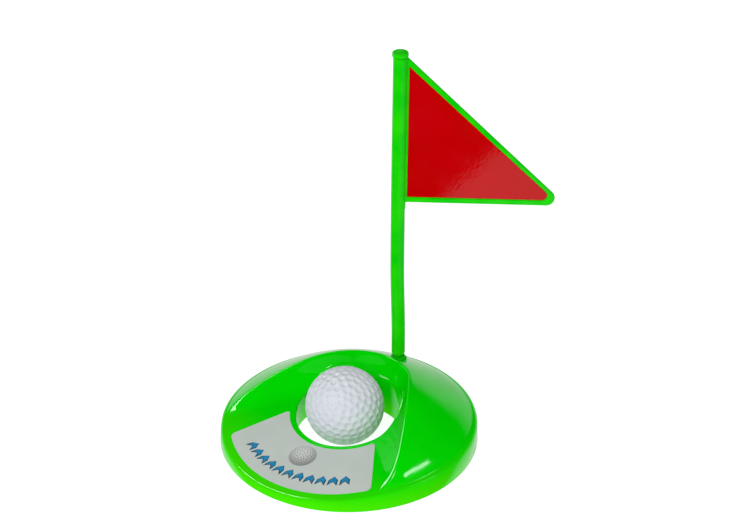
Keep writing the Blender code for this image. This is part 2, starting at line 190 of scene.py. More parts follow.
# scales are in waves per metre and depths in metres
finishLooks = {
    "brightGreenMoulding": {
        "color": (0.0, 0.64, 0.0), "cloudColor": (0.0, 0.68, 0.0), "cloudScale": 45.0,
        # the lighter yellow-green low on the base is painted bounce light from the floor
        "bounceLitColor": (0.060, 0.74, 0.0), "bounceLitBetween": (0.001, 0.012), "gloss": 0.36,
        "roughness": (0.05, 0.10), "smudgeScale": 160.0,
        "waves": [(38.0, 0.00030), (900.0, 0.000005)]},
    "poleGreenMoulding": {
        "color": (0.0, 0.52, 0.0), "cloudColor": (0.015, 0.60, 0.0), "cloudScale": 70.0,
        "gloss": 0.17,
        "roughness": (0.08, 0.16), "smudgeScale": 220.0,
        "waves": [(70.0, 0.00020), (1200.0, 0.000006)]},
    "footGreenMoulding": {
        "color": (0.0, 0.46, 0.0), "cloudColor": (0.0, 0.52, 0.0), "cloudScale": 90.0,
        "gloss": 0.20,
        "roughness": (0.12, 0.22), "smudgeScale": 260.0,
        "waves": [(120.0, 0.00008), (1400.0, 0.000006)]},
    "greyLabelFilm": {
        "color": (0.50, 0.555, 0.515), "cloudColor": (0.53, 0.58, 0.545), "cloudScale": 60.0,
        "gloss": 0.30, "roughness": (0.28, 0.40), "smudgeScale": 140.0,
        "waves": [(55.0, 0.00010), (2200.0, 0.000006)]},
    "redLabelFilm": {
        "color": (0.442, 0.0, 0.0), "cloudColor": (0.468, 0.0, 0.002), "cloudScale": 50.0,
        "gloss": 0.5, "roughness": (0.03, 0.08), "smudgeScale": 120.0,
        "waves": [(60.0, 0.00006), (620.0, 0.000030)]},
    "whiteBallShell": {
        "color": (0.60, 0.635, 0.69), "cloudColor": (0.64, 0.67, 0.715), "cloudScale": 80.0,
        "gloss": 0.35, "roughness": (0.30, 0.42), "smudgeScale": 180.0,
        "waves": [(1500.0, 0.000010)]},
    "blueInk": {
        "color": (0.0, 0.20, 0.42), "cloudColor": (0.0, 0.24, 0.47), "cloudScale": 700.0,
        "gloss": 0.30, "roughness": (0.30, 0.42), "smudgeScale": 400.0,
        "waves": [(2200.0, 0.000004)]},
    "darkInk": {
        "color": (0.006, 0.03, 0.05), "cloudColor": (0.012, 0.045, 0.07), "cloudScale": 700.0,
        "gloss": 0.25, "roughness": (0.30, 0.45), "smudgeScale": 400.0,
        "waves": [(2200.0, 0.000004)]},
    "greyInk": {
        "color": (0.10, 0.11, 0.105), "cloudColor": (0.13, 0.14, 0.135), "cloudScale": 500.0,
        "gloss": 0.25, "roughness": (0.30, 0.45), "smudgeScale": 400.0,
        "waves": [(2200.0, 0.000004)]},
}
finishes = {name: makeFinish(name, look) for name, look in finishLooks.items()}
print("finishes made:", len(finishes))

# the base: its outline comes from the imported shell, the rest are its own proportions

base = {
    "skirtDraft": 0.0004, "wall": 0.0018,
    "rimHeight": 0.0097, "rimTilt": 0.024, "rimRound": 0.0022, "rimSag": 0.0009, "sagWidth": 0.0100,
    "domeRise": 0.0376, "domeFullness": 1.29,
    "holeRadius": 0.0287, "holeRound": 0.0010,
    "lipHeight": 0.0120, "rampSlope": 0.185, "bowlHeight": 0.0200, "bowlBlend": 0.0015,
    "wedgeAngle": 37.0, "channelBack": 0.0113, "channelInset": 0.0076,
    "wallCurve": 0.0140, "wallSlope": 2.4, "crestRound": 0.0009,
    "headings": 480, "innerRings": 40, "outerRings": 40, "underRings": 16,
    "crowding": 1.6, "rimBand": 0.0016, "roundSteps": 8, "footRound": 0.0003,
    "slopeStep": 0.0002, "crestHalvings": 30,
}
shellLow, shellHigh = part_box("base_shell")
baseX, baseY = (shellLow.x + shellHigh.x) / 2, (shellLow.y + shellHigh.y) / 2
footRadius = (shellHigh.x - shellLow.x) / 2
rimRadius = footRadius - base["skirtDraft"]


def softMin(a, b, blend):
    return (a + b) / 2 - np.hypot((a - b) / 2, blend)


def domeHeight(x, y):
    share = np.hypot(x, y) / rimRadius
    nearRim = np.maximum(0.0, 1.0 - (1.0 - share) * rimRadius / base["sagWidth"])
    return (base["rimHeight"] + base["rimTilt"] * y - base["rimSag"] * nearRim ** 2
            + base["domeRise"] * (1.0 - share ** base["domeFullness"]))


def channelHeight(x, y):
    wedge = math.radians(base["wedgeAngle"])
    side, back = np.abs(x), y - base["channelBack"]
    offset = np.where(np.arctan2(back, side) < wedge,
                      side * math.cos(wedge) + back * math.sin(wedge), np.hypot(side, back))
    floorHalf = base["holeRadius"] - base["channelInset"] - base["channelBack"]
    reach = np.maximum(0.0, offset - floorHalf)
    curve, slope = base["wallCurve"], base["wallSlope"]
    bend = np.minimum(reach, curve * slope / math.hypot(1.0, slope))
    rise = curve - np.sqrt(curve ** 2 - bend ** 2) + slope * (reach - bend)
    ramp = softMin(base["lipHeight"] + base["rampSlope"] * (y + base["holeRadius"]),
                   base["bowlHeight"], base["bowlBlend"])
    return ramp + rise


def topHeight(x, y):
    return softMin(domeHeight(x, y), channelHeight(x, y), base["crestRound"])


def underHeight(x, y):
    step = base["slopeStep"]
    here = topHeight(x, y)
    slopeX = (topHeight(x + step, y) - here) / step
    slopeY = (topHeight(x, y + step) - here) / step
    return here - base["wall"] * np.sqrt(1.0 + slopeX ** 2 + slopeY ** 2)


# the rings of the mesh follow the crest, where the channel's wall meets the dome
def crestRadii(dx, dy):
    near = np.full_like(dx, base["holeRadius"] + base["holeRound"])
    far = np.full_like(dx, rimRadius - base["rimBand"])
    outOfDome = channelHeight(dx * far, dy * far) < domeHeight(dx * far, dy * far)
    for _ in range(base["crestHalvings"]):
        middle = (near + far) / 2
        inside = channelHeight(dx * middle, dy * middle) < domeHeight(dx * middle, dy * middle)
        near, far = np.where(inside, middle, near), np.where(inside, far, middle)
    return np.where(outOfDome, rimRadius - base["rimBand"], near)


def makeBase():
    heading = np.arange(base["headings"]) * math.tau / base["headings"]
    dx, dy = np.sin(heading), -np.cos(heading)
    hole, wall = base["holeRadius"], base["wall"]
    columns = []

    def column(radius, height):
        radius = np.broadcast_to(radius, dx.shape)
        columns.append(np.stack([dx * radius, dy * radius, np.broadcast_to(height, dx.shape)], 1))

    turns = np.radians(np.linspace(0.0, 90.0, base["roundSteps"] + 1))
    column(hole, 0.0)
    edge = topHeight(dx * (hole + base["holeRound"]), dy * (hole + base["holeRound"]))
    for turn in turns:
        column(hole + base["holeRound"] * (1 - math.cos(turn)),
               edge - base["holeRound"] * (1 - math.sin(turn)))
    crest = crestRadii(dx, dy)
    innerStart, outerEnd = hole + base["holeRound"], rimRadius - base["rimRound"]
    for step in range(base["innerRings"] - 1, -1, -1):
        share = (step / base["innerRings"]) ** base["crowding"]
        radius = crest + (innerStart - crest) * share
        column(radius, topHeight(dx * radius, dy * radius))
    for step in range(1, base["outerRings"]):
        share = (step / base["outerRings"]) ** base["crowding"]
        radius = crest + (outerEnd - crest) * share
        column(radius, topHeight(dx * radius, dy * radius))
    brim = topHeight(dx * outerEnd, dy * outerEnd)
    for turn in turns[::-1]:
        column(rimRadius - base["rimRound"] * (1 - math.cos(turn)),
               brim - base["rimRound"] * (1 - math.sin(turn)))
    foot = base["footRound"]
    column(footRadius, foot)
    column(footRadius - foot / 3, foot / 3)
    column(footRadius - foot, 0.0)
    column(rimRadius - wall + foot / 2, 0.0)
    column(rimRadius - wall, foot / 2)
    for radius in np.linspace(rimRadius - wall, hole + wall, base["underRings"]):
        column(radius, underHeight(dx * radius, dy * radius))
    column(hole + wall, 0.0)
    rings = np.stack(columns, 1) + np.array([baseX, baseY, 0.0])
    points, faces = loftRings(rings, closeEnds=False, wrapRings=True)
    return addPiece("puttingBase", points, faces, finishes["brightGreenMoulding"])


# the post under the dome that takes the pole's foot; its rim stands round the foot's collar
socket = {"pegRadius": 0.0031, "clearance": 0.00018, "outside": 0.0049, "boreLength": 0.0166,
          "mouthRound": 0.0003, "lip": 0.0003, "lipRound": 0.00012, "collarClearance": 0.00022}


def makeSocket(target):
    bore, outside = socket["pegRadius"] + socket["clearance"], socket["outside"]
    seat = footHigh.x + socket["collarClearance"]
    lip, mouth, brim = socket["lipRound"], socket["mouthRound"], seatHeight + socket["lip"]
    post = addPiece("socketPost", *turnedSolid([
        (axisFlat, 0.0), (outside, 0.0), (outside, brim - lip), (outside - lip, brim),
        (axisFlat, brim)]), finishes["brightGreenMoulding"])
    # towards the hole the post's top ends inside the dome's wall
    for vert in post.data.vertices:
        if vert.co.z > seatHeight and vert.co.xy.length > bore:
            skin = float(topHeight(vert.co.x - baseX, vert.co.y - baseY)) - base["wall"] / 2
            vert.co.z = max(vert.co.z, skin)
    hole = addPiece("footCut", *turnedSolid([
        (axisFlat, seatHeight - socket["boreLength"]), (bore, seatHeight - socket["boreLength"]),
        (bore, seatHeight - mouth), (bore + mouth, seatHeight), (seat, seatHeight),
        (seat, poleTop), (axisFlat, poleTop)]), finishes["brightGreenMoulding"])
    return joinOrCut(target, [("UNION", post), ("DIFFERENCE", hole)], 40.0)


# the foot stands on the seat with a hair's breadth of clearance
footLow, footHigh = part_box("pole_foot")
foot = {"pegLength": 0.0160, "pegRadius": 0.0031, "collarHeight": 0.0014, "seatGap": 0.0003,
        "spigotRadius": 0.0019, "pegChamfer": 0.0007, "edge": 0.0004}
seatHeight = footLow.z + foot["pegLength"]
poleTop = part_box("flag_pole")[1].z
puttingBase = makeSocket(makeBase())
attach(puttingBase, "base")
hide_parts("base_shell")
print("base made with", len(puttingBase.data.polygons), "faces")


def makeFoot():
    radius, edge = footHigh.x, foot["edge"]
    low = seatHeight + foot["seatGap"]
    top = low + foot["collarHeight"]
    chamfer = foot["pegChamfer"]
    profile = [(axisFlat, footLow.z), (foot["pegRadius"] - chamfer, footLow.z),
               (foot["pegRadius"], footLow.z + chamfer), (foot["pegRadius"], low - edge / 2),
               (foot["pegRadius"] + edge / 2, low)]
    profile += arcPoints((radius - edge, low + edge), edge, -90.0, 0.0, 5)
    profile += arcPoints((radius - edge, top - edge), edge, 0.0, 90.0, 5)
    profile += [(foot["spigotRadius"] + edge / 2, top), (foot["spigotRadius"], top + edge / 2),
                (foot["spigotRadius"], footHigh.z - edge),
                (foot["spigotRadius"] - edge, footHigh.z),
                (axisFlat, footHigh.z)]
    return addPiece("poleFoot", *turnedSolid(profile), finishes["footGreenMoulding"])


poleFoot = makeFoot()
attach(poleFoot, "foot")
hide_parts("pole_foot")

# the pole and the pennant are one moulding; the pennant's reach and top come from the pole's box

poleLow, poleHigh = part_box("flag_pole")
poleRadius = -poleLow.x
flag = {
    "heading": 37.4, "thickness": 0.0022, "tipRadius": 0.0044, "height": 0.0821,
    "bottomBorder": 0.0030, "slopeBorder": 0.0044, "tipBorder": 0.0039, "recessTipRadius": 0.0030,
    "spine": 0.0007, "recess": 0.0006, "edgeRound": 0.0008, "lipRound": 0.00025,
    "tipSteps": 24, "roundSteps": 5,
}
pole = {"endRound": 0.0026, "boreRadius": 0.0020, "boreLength": 0.0100, "plugRadius": 0.0019,
        "plugLength": 0.0060, "topRound": 0.0003, "spurDrop": 0.0055, "spurReach": 0.00025,
        "spurShoulder": 0.6, "rings": 60, "bow": 0.00085, "bowPeak": 0.3, "bowPower": 1.7}


# a triangle with an upright left edge, a level bottom and a round tip
def pennant(left, bottom, top, reach, tipRadius):
    tip = (reach - tipRadius, bottom + tipRadius)
    rise, run = top - tip[1], tip[0] - left
    slope = math.atan2(rise, run) - math.asin(tipRadius / math.hypot(rise, run))
    roundTip = arcPoints(tip, tipRadius, -90.0, 90.0 - math.degrees(slope), flag["tipSteps"])
    return [(left, bottom)] + roundTip + [(left, top)]


flagTurn = math.radians(flag["heading"])
flagReach = (poleHigh.x - flag["thickness"] / 2 * math.sin(flagTurn)) / math.cos(flagTurn)
flagBottom = poleHigh.z - flag["height"]
flagCorner = math.tan(math.pi / 4 + math.atan2(flag["height"], flagReach) / 2)


def recessOutline(grow):
    return pennant(poleRadius + flag["spine"] - grow, flagBottom + flag["bottomBorder"] - grow,
                   poleHigh.z - flag["slopeBorder"] + flagCorner * grow,
                   flagReach - flag["tipBorder"] + grow, flag["recessTipRadius"] + grow)


def plateOutline(shrink):
    return pennant(0.0, flagBottom + shrink, poleHigh.z + poleRadius - flagCorner * shrink,
                   flagReach - shrink, flag["tipRadius"] - shrink)


def turnToFlag(points):
    turn = Matrix.Rotation(flagTurn, 3, "Z")
    return [turn @ Vector(point) for point in points]


# the moulding bows slightly away from the pennant, and the pennant's tip stays where it is
def bowed(point):
    low, high = poleLow.z + pole["boreLength"], poleHigh.z - pole["plugLength"]
    along = min(1.0, max(0.0, (point.z - low) / (high - low)))
    if along < pole["bowPeak"]:
        share = (1.0 - math.cos(math.pi * along / pole["bowPeak"])) / 2
    else:
        share = 1.0 - ((along - pole["bowPeak"]) / (1.0 - pole["bowPeak"])) ** pole["bowPower"]
    outward = Vector((math.cos(flagTurn), math.sin(flagTurn), 0.0))
    reach = max(0.0, point.dot(outward) - poleRadius) / (flagReach - poleRadius)
    return point - outward * pole["bow"] * share * max(0.0, 1.0 - reach)


def makePennant():
    half, edge, lip = flag["thickness"] / 2, flag["edgeRound"], flag["lipRound"]
    floor = half - flag["recess"]
    layers = [(recessOutline(0.0), floor)]
    for step in range(flag["roundSteps"] + 1):
        turn = math.radians(90.0 * step / flag["roundSteps"])
        layers.append((recessOutline(lip * (1 - math.cos(turn))),
                       half - lip * (1 - math.sin(turn))))
    for step in range(flag["roundSteps"] + 1):
        turn = math.radians(90.0 * step / flag["roundSteps"])
        layers.append((plateOutline(edge * (1 - math.sin(turn))),
                       half - edge * (1 - math.cos(turn))))
    layers += [(outline, -depth) for outline, depth in reversed(layers)]
    rings = [turnToFlag([(x, -depth, z) for x, z in outline]) for outline, depth in layers]
    return addPiece("pennantPlate", *loftRings(rings), finishes["poleGreenMoulding"])


def makePole():
    end, top = pole["endRound"], pole["topRound"]
    profile = [(axisFlat, poleLow.z)]
    profile += arcPoints((poleRadius - end, poleLow.z + end), end, -90.0, 0.0, 12)
    start, length = poleLow.z + end, poleHigh.z - top - poleLow.z - end
    profile += [(poleRadius, start + length * ring / pole["rings"])
                for ring in range(1, pole["rings"])]
    profile += arcPoints((poleRadius - top, poleHigh.z - top), top, 0.0, 90.0, 4)
    profile += [(axisFlat, poleHigh.z)]
    stem = addPiece("flagPole", *turnedSolid(profile), finishes["poleGreenMoulding"])
    plate = makePennant()
    # the plate is trimmed level with the pole's top
    over = 3 * poleRadius
    trim = addPiece("plateTrim", *turnedSolid([
        (axisFlat, poleHigh.z), (over, poleHigh.z), (over, poleHigh.z + over),
        (axisFlat, poleHigh.z + over)]), finishes["poleGreenMoulding"])
    joinOrCut(plate, [("DIFFERENCE", trim)])
    # a spur under the plate fades into the pole
    reach, drop = pole["spurReach"], pole["spurDrop"]
    half = flag["thickness"] / 2 - flag["edgeRound"] / 2
    side = [(0.0, flagBottom + reach), (poleRadius + reach, flagBottom + reach),
            (poleRadius + reach, flagBottom - drop * pole["spurShoulder"]),
            (poleRadius - reach, flagBottom - drop),
            (0.0, flagBottom - drop)]
    spur = addPiece("spur", *loftRings([turnToFlag([(x, y, z) for x, z in side])
                                        for y in (-half, half)]), finishes["poleGreenMoulding"])
    lowBore = addPiece("spigotBore", *turnedSolid([
        (axisFlat, poleLow.z - top), (pole["boreRadius"], poleLow.z - top),
        (pole["boreRadius"], poleLow.z + pole["boreLength"]),
        (axisFlat, poleLow.z + pole["boreLength"])]), finishes["poleGreenMoulding"])
    highBore = addPiece("plugBore", *turnedSolid([
        (axisFlat, poleHigh.z - pole["plugLength"]),
        (pole["plugRadius"], poleHigh.z - pole["plugLength"]),
        (pole["plugRadius"], poleHigh.z + top), (axisFlat, poleHigh.z + top)]),
        finishes["poleGreenMoulding"])
    joinOrCut(stem, [("UNION", plate), ("UNION", spur), ("DIFFERENCE", lowBore),
                     ("DIFFERENCE", highBore)])
    for vert in stem.data.vertices:
        vert.co = bowed(vert.co)
    return stem


flagPole = makePole()
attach(flagPole, "flag")
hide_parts("flag_pole")
print("pole and pennant made")

cap = {"height": 0.0026, "nubHeight": 0.0006, "nubRadius": 0.0012, "plugRadius": 0.0018,
       "edge": 0.0009, "dish": 0.00015}


def makeCap():
    low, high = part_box("pole_cap")
    radius, edge = high.x, cap["edge"]
    top = high.z - cap["nubHeight"]
    bottom = top - cap["height"]
    nub, nubRound = cap["nubRadius"], cap["nubHeight"]
    profile = [(axisFlat, low.z), (cap["plugRadius"], low.z), (cap["plugRadius"], bottom)]
    profile += arcPoints((radius - edge / 2, bottom + edge / 2), edge / 2, -90.0, 0.0, 5)
    profile += arcPoints((radius - edge, top - edge), edge, 0.0, 90.0, 8)
    profile += [(nub + cap["edge"], top - cap["dish"]), (nub + nubRound / 2, top - cap["dish"])]
    profile += arcPoints((nub - nubRound, top), nubRound, 0.0, 90.0, 5)
    profile += [(axisFlat, high.z)]
    return addPiece("poleCap", *turnedSolid(profile), finishes["poleGreenMoulding"])


poleCap = makeCap()
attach(poleCap, "flag")
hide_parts("pole_cap")

# the red labels lie in the pennant's recesses
flagLabel = {"margin": 0.00022, "thickness": 0.00022, "edge": 0.00008, "glue": 0.00004}


def makeFlagLabel(name, side):
    floor = flag["thickness"] / 2 - flag["recess"] + flagLabel["glue"]
    edge, top = flagLabel["edge"], floor + flagLabel["thickness"]
    layers = [(-flagLabel["margin"], floor), (-flagLabel["margin"], top - edge),
              (-flagLabel["margin"] - edge / 3, top - edge / 3), (-flagLabel["margin"] - edge, top)]
    rings = [[bowed(point) for point in turnToFlag([(x, side * depth, z)
                                                    for x, z in recessOutline(grow)])]
             for grow, depth in layers]
    return addPiece(name, *loftRings(rings), finishes["redLabelFilm"], 10.0)


for labelName, labelSide, labelNode in (("flagLabelFront", -1, "flag_label_front"),
                                        ("flagLabelBack", 1, "flag_label_back")):
    label = makeFlagLabel(labelName, labelSide)
    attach(label, "flag")
    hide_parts(labelNode)
print("cap and flag labels made")

# the ramp's label, with a printed ball and a row of printed arrowheads that point at the hole

rampLabel = {"innerMargin": 0.0034, "outerMargin": 0.0052, "splay": 31.0, "edgeOffset": 0.0159,
             "corner": 0.0024, "turn": 6.0, "thickness": 0.0002, "glue": 0.00004,
             "columns": 140, "rows": 64}
labelInner = base["holeRadius"] + rampLabel["innerMargin"]
labelOuter = rimRadius - rampLabel["outerMargin"]


# a point on the label: heading in radians from the front, radius from the hole's axis
def onRamp(heading, radius, lift):
    x, y = radius * math.sin(heading), -radius * math.cos(heading)
    return (baseX + x, baseY + y, float(topHeight(x, y)) + rampLabel["glue"] + lift)


def makeRampLabel():
    corner = rampLabel["corner"]
    layers = []
    for lift in (0.0, rampLabel["thickness"]):
        layer = []
        for row in range(rampLabel["rows"] + 1):
            share = (1 - math.cos(math.pi * row / rampLabel["rows"])) / 2
            radius = labelInner + (labelOuter - labelInner) * share
            fromEnd = min(radius - labelInner, labelOuter - radius)
            short = max(0.0, corner - fromEnd)
            inset = corner - math.sqrt(corner ** 2 - short ** 2)
            half = (math.radians(rampLabel["splay"])
                    + math.asin(rampLabel["edgeOffset"] / radius) - inset / radius)
            layer.append([onRamp(math.radians(rampLabel["turn"])
                                 + half * (2 * column / rampLabel["columns"] - 1), radius, lift)
                          for column in range(rampLabel["columns"] + 1)])
        layers.append(layer)
    rows, columns = rampLabel["rows"] + 1, rampLabel["columns"] + 1
    points = [point for layer in layers for line in layer for point in line]

    def at(layer, row, column):
        return (layer * rows + row) * columns + column

    faces = []
    for layer in (0, 1):
        for row in range(rows - 1):
            for column in range(columns - 1):
                faces.append((at(layer, row, column), at(layer, row, column + 1),
                              at(layer, row + 1, column + 1), at(layer, row + 1, column)))
    rim = [(0, column) for column in range(columns)]
    rim += [(row, columns - 1) for row in range(1, rows)]
    rim += [(rows - 1, column) for column in range(columns - 2, -1, -1)]
    rim += [(row, 0) for row in range(rows - 2, 0, -1)]
    for (row, column), (nextRow, nextColumn) in zip(rim, rim[1:] + rim[:1]):
        faces.append((at(0, row, column), at(0, nextRow, nextColumn),
                      at(1, nextRow, nextColumn), at(1, row, column)))
    return addPiece("rampLabel", points, faces, finishes["greyLabelFilm"])


label = makeRampLabel()
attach(label, "base")
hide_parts("ramp_label")

arrows = {"count": 11, "first": -26.0, "last": 39.0, "radius": 0.0550, "half": 0.0019,
          "rise": 0.0022, "stroke": 0.0030, "outline": 0.00058, "lean": 0.12,
          "inkThickness": 0.00003}


# one arrowhead's outline, grown all round by a margin; u runs along the row, v to the hole
def arrowOutline(grow):
    half, rise, stroke = arrows["half"] + grow, arrows["rise"], arrows["stroke"]
    climb = rise / arrows["half"]
    lift = grow * math.hypot(1.0, climb)
    points = [(-half, -rise / 2 - grow * climb - lift / 2), (0.0, rise / 2 - lift / 2 - grow * 0.2),
              (half, -rise / 2 - grow * climb - lift / 2)]
    over = [(u, v + stroke + lift) for u, v in reversed(points)]
    return [(u + arrows["lean"] * v, v - stroke / 2) for u, v in points + over]


def makeArrows(name, grow, lift, finish):
    points, faces = [], []
    for index in range(arrows["count"]):
        share = index / (arrows["count"] - 1)
        heading = math.radians(arrows["first"] + (arrows["last"] - arrows["first"]) * share)
        outline = arrowOutline(grow)
        rings = [[onRamp(heading + u / arrows["radius"], arrows["radius"] - v, height)
                  for u, v in outline] for height in (rampLabel["thickness"], lift)]
        start = len(points)
        ringPoints, ringFaces = loftRings(rings)
        points += ringPoints
        faces += [tuple(start + corner for corner in face) for face in ringFaces]
    return addPiece(name, points, faces, finish, 20.0)


inkTop = rampLabel["thickness"] + arrows["inkThickness"]
arrowEdges = makeArrows("arrowEdges", arrows["outline"], inkTop, finishes["darkInk"])
arrowFills = makeArrows("arrowFills", 0.0, inkTop + arrows["inkThickness"], finishes["blueInk"])
for inkPiece in (arrowEdges, arrowFills):
    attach(inkPiece, "base")

printedBall = {"heading": 5.15, "radius": 0.0415, "size": 0.0074, "rings": 40, "steps": 120,
               "inkThickness": 0.00003, "light": (0.60, 0.62, 0.60), "shade": (0.26, 0.27, 0.265),
               "dots": 130, "dotSize": 0.00034, "dotSteps": 10}


# a grey disc that darkens towards one side, as a screened picture of a ball does
def printedBallFinish(center):
    material = makeFinish("printedBallInk", {**finishLooks["greyLabelFilm"],
                                             "color": printedBall["light"]})
    nodes, links = material.node_tree.nodes, material.node_tree.links
    size = printedBall["size"]
    away = nodes.new("ShaderNodeVectorMath")
    away.operation = "DISTANCE"
    links.new(nodes.new("ShaderNodeTexCoord").outputs["Object"], away.inputs[0])
    away.inputs[1].default_value = (center[0] - 0.30 * size, center[1] + 0.30 * size, center[2])
    darkness = nodes.new("ShaderNodeMapRange")
    darkness.interpolation_type = "SMOOTHSTEP"
    darkness.inputs["From Min"].default_value = 0.2 * size
    darkness.inputs["From Max"].default_value = 1.5 * size
    links.new(away.outputs["Value"], darkness.inputs["Value"])
    mix = nodes.new("ShaderNodeMix")
    mix.data_type = "RGBA"
    links.new(darkness.outputs["Result"], mix.inputs["Factor"])
    mix.inputs["A"].default_value = (*printedBall["light"], 1.0)
    mix.inputs["B"].default_value = (*printedBall["shade"], 1.0)
    links.new(mix.outputs["Result"], nodes["Principled BSDF"].inputs["Base Color"])
    return material


# a point on the label, by its place from the printed ball's middle
def onPrint(u, v, lift):
    heading, radius = math.radians(printedBall["heading"]), printedBall["radius"]
    x, y = radius * math.sin(heading) + u, -radius * math.cos(heading) + v
    return onRamp(math.atan2(x, -y), math.hypot(x, y), lift)


def makePrintedBall():
    top = rampLabel["thickness"] + printedBall["inkThickness"]
    sizes = [(printedBall["size"], rampLabel["thickness"])]
    sizes += [(printedBall["size"] * (1 - ring / printedBall["rings"]) + 0.00005, top)
              for ring in range(printedBall["rings"] + 1)]
    turns = [math.tau * step / printedBall["steps"] for step in range(printedBall["steps"])]
    rings = [[onPrint(size * math.cos(turn), size * math.sin(turn), lift) for turn in turns]
             for size, lift in sizes]
    finish = printedBallFinish(onPrint(0.0, 0.0, top))
    return addPiece("printedBall", *loftRings(rings), finish, 60.0)


# the printed dimples: dots in a spiral, which crowd together and flatten towards the edge
def makePrintedDots():
    points, faces = [], []
    low = rampLabel["thickness"] + printedBall["inkThickness"]
    goldenTurn = math.pi * (3.0 - math.sqrt(5.0))
    for index in range(printedBall["dots"]):
        flatness = 1.0 - (index + 0.5) / printedBall["dots"]
        away = printedBall["size"] * math.sqrt(1.0 - flatness ** 2)
        turn = goldenTurn * index
        rings = []
        for lift in (low, low + printedBall["inkThickness"]):
            ring = []
            for step in range(printedBall["dotSteps"]):
                around = math.tau * step / printedBall["dotSteps"]
                out = away + printedBall["dotSize"] * max(flatness, 0.15) * math.cos(around)
                out = min(out, printedBall["size"])
                side = printedBall["dotSize"] * math.sin(around)
                ring.append(onPrint(out * math.cos(turn) - side * math.sin(turn),
                                    out * math.sin(turn) + side * math.cos(turn), lift))
            rings.append(ring)
        start = len(points)
        ringPoints, ringFaces = loftRings(rings)
        points += ringPoints
        faces += [tuple(start + corner for corner in face) for face in ringFaces]
    return addPiece("printedDots", points, faces, finishes["greyInk"], 20.0)


for inkPiece in (makePrintedBall(), makePrintedDots()):
    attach(inkPiece, "base")
print("ramp label and its print made")

# the ball: rings of dimples round the axis of its two halves

ball = {"tilt": 45.0, "turn": 46.0, "wall": 0.0015, "seam": 0.00004, "rows": 8,
        "pitch": 0.00445, "dimpleRadius": 0.00200, "dimpleDepth": 0.00068,
        "dimpleEdge": 1.15, "fineness": 7, "insideFineness": 5, "sharpFrom": 50.0}
nearLow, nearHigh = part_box("ball_half_near")
farLow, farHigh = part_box("ball_half_far")
ballLow = Vector(map(min, nearLow, farLow))
ballHigh = Vector(map(max, nearHigh, farHigh))
ballCenter = (ballLow + ballHigh) / 2
ballRadius = (ballHigh.z - ballLow.z) / 2
ballTurn = (Matrix.Rotation(math.radians(ball["turn"]), 4, "Z")
            @ Matrix.Rotation(math.radians(ball["tilt"]), 4, "X"))


def dimpleCenters():
    centers = [Vector((0.0, 0.0, 1.0))]
    rowAngle = math.pi / 2 / (ball["rows"] + 0.5)
    for row in range(1, ball["rows"] + 1):
        away = row * rowAngle
        count = round(math.tau * math.sin(away) * ballRadius / ball["pitch"])
        for step in range(count):
            around = math.tau * (step + 0.5 * (row % 2)) / count
            centers.append(Vector((math.sin(away) * math.cos(around),
                                   math.sin(away) * math.sin(around), math.cos(away))))
    return centers


def makeBallHalf(name, side):
    centers = dimpleCenters()
    tree = kdtree.KDTree(len(centers))
    for index, center in enumerate(centers):
        tree.insert(center, index)
    tree.balance()
    bm = bmesh.new()
    bmesh.ops.create_icosphere(bm, subdivisions=ball["fineness"], radius=1.0)
    seam = ball["seam"] / ballRadius
    inner = bmesh.new()
    bmesh.ops.create_icosphere(inner, subdivisions=ball["insideFineness"],
                               radius=1.0 - ball["wall"] / ballRadius)
    for shell in (bm, inner):
        bmesh.ops.bisect_plane(shell, geom=shell.verts[:] + shell.edges[:] + shell.faces[:],
                               plane_co=(0, 0, seam), plane_no=(0, 0, 1), clear_inner=True)
    reach = ball["dimpleRadius"] / ballRadius
    for vert in bm.verts:
        _, _, away = tree.find(vert.co.normalized())
        if away < reach and vert.co.z > seam * 2:
            depth = ball["dimpleDepth"] * (1 - (away / reach) ** 2) ** ball["dimpleEdge"]
            vert.co *= 1 - depth / ballRadius
    mesh = bpy.data.meshes.new("inside")
    inner.to_mesh(mesh)
    inner.free()
    bm.from_mesh(mesh)
    edges = [edge for edge in bm.edges if edge.is_boundary]
    bmesh.ops.bridge_loops(bm, edges=edges)
    flip = Matrix.Scale(side, 4, (0, 0, 1))
    place = Matrix.Translation(ballCenter) @ ballTurn @ flip @ Matrix.Scale(ballRadius, 4)
    bmesh.ops.transform(bm, matrix=place, verts=bm.verts)
    bmesh.ops.recalc_face_normals(bm, faces=bm.faces)
    mesh = bpy.data.meshes.new(name)
    bm.to_mesh(mesh)
    bm.free()
    mesh.materials.append(finishes["whiteBallShell"])
    mesh.shade_smooth()
    mesh.set_sharp_from_angle(angle=math.radians(ball["sharpFrom"]))
    half = bpy.data.objects.new(name, mesh)
    bpy.context.scene.collection.objects.link(half)
    return half


for halfName, halfSide, halfNode in (("ballHalfNear", 1, "ball_half_near"),
                                     ("ballHalfFar", -1, "ball_half_far")):
    half = makeBallHalf(halfName, halfSide)
    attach(half, "ball")
    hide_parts(halfNode)
print("ball made with", 2 * len(dimpleCenters()), "dimples")

# floor, light and camera

floorSheet = {"side": 3.0, "color": (0.34, 0.34, 0.34), "grainColor": (0.36, 0.36, 0.36),
              "grainScale": 300.0, "glow": 0.86}


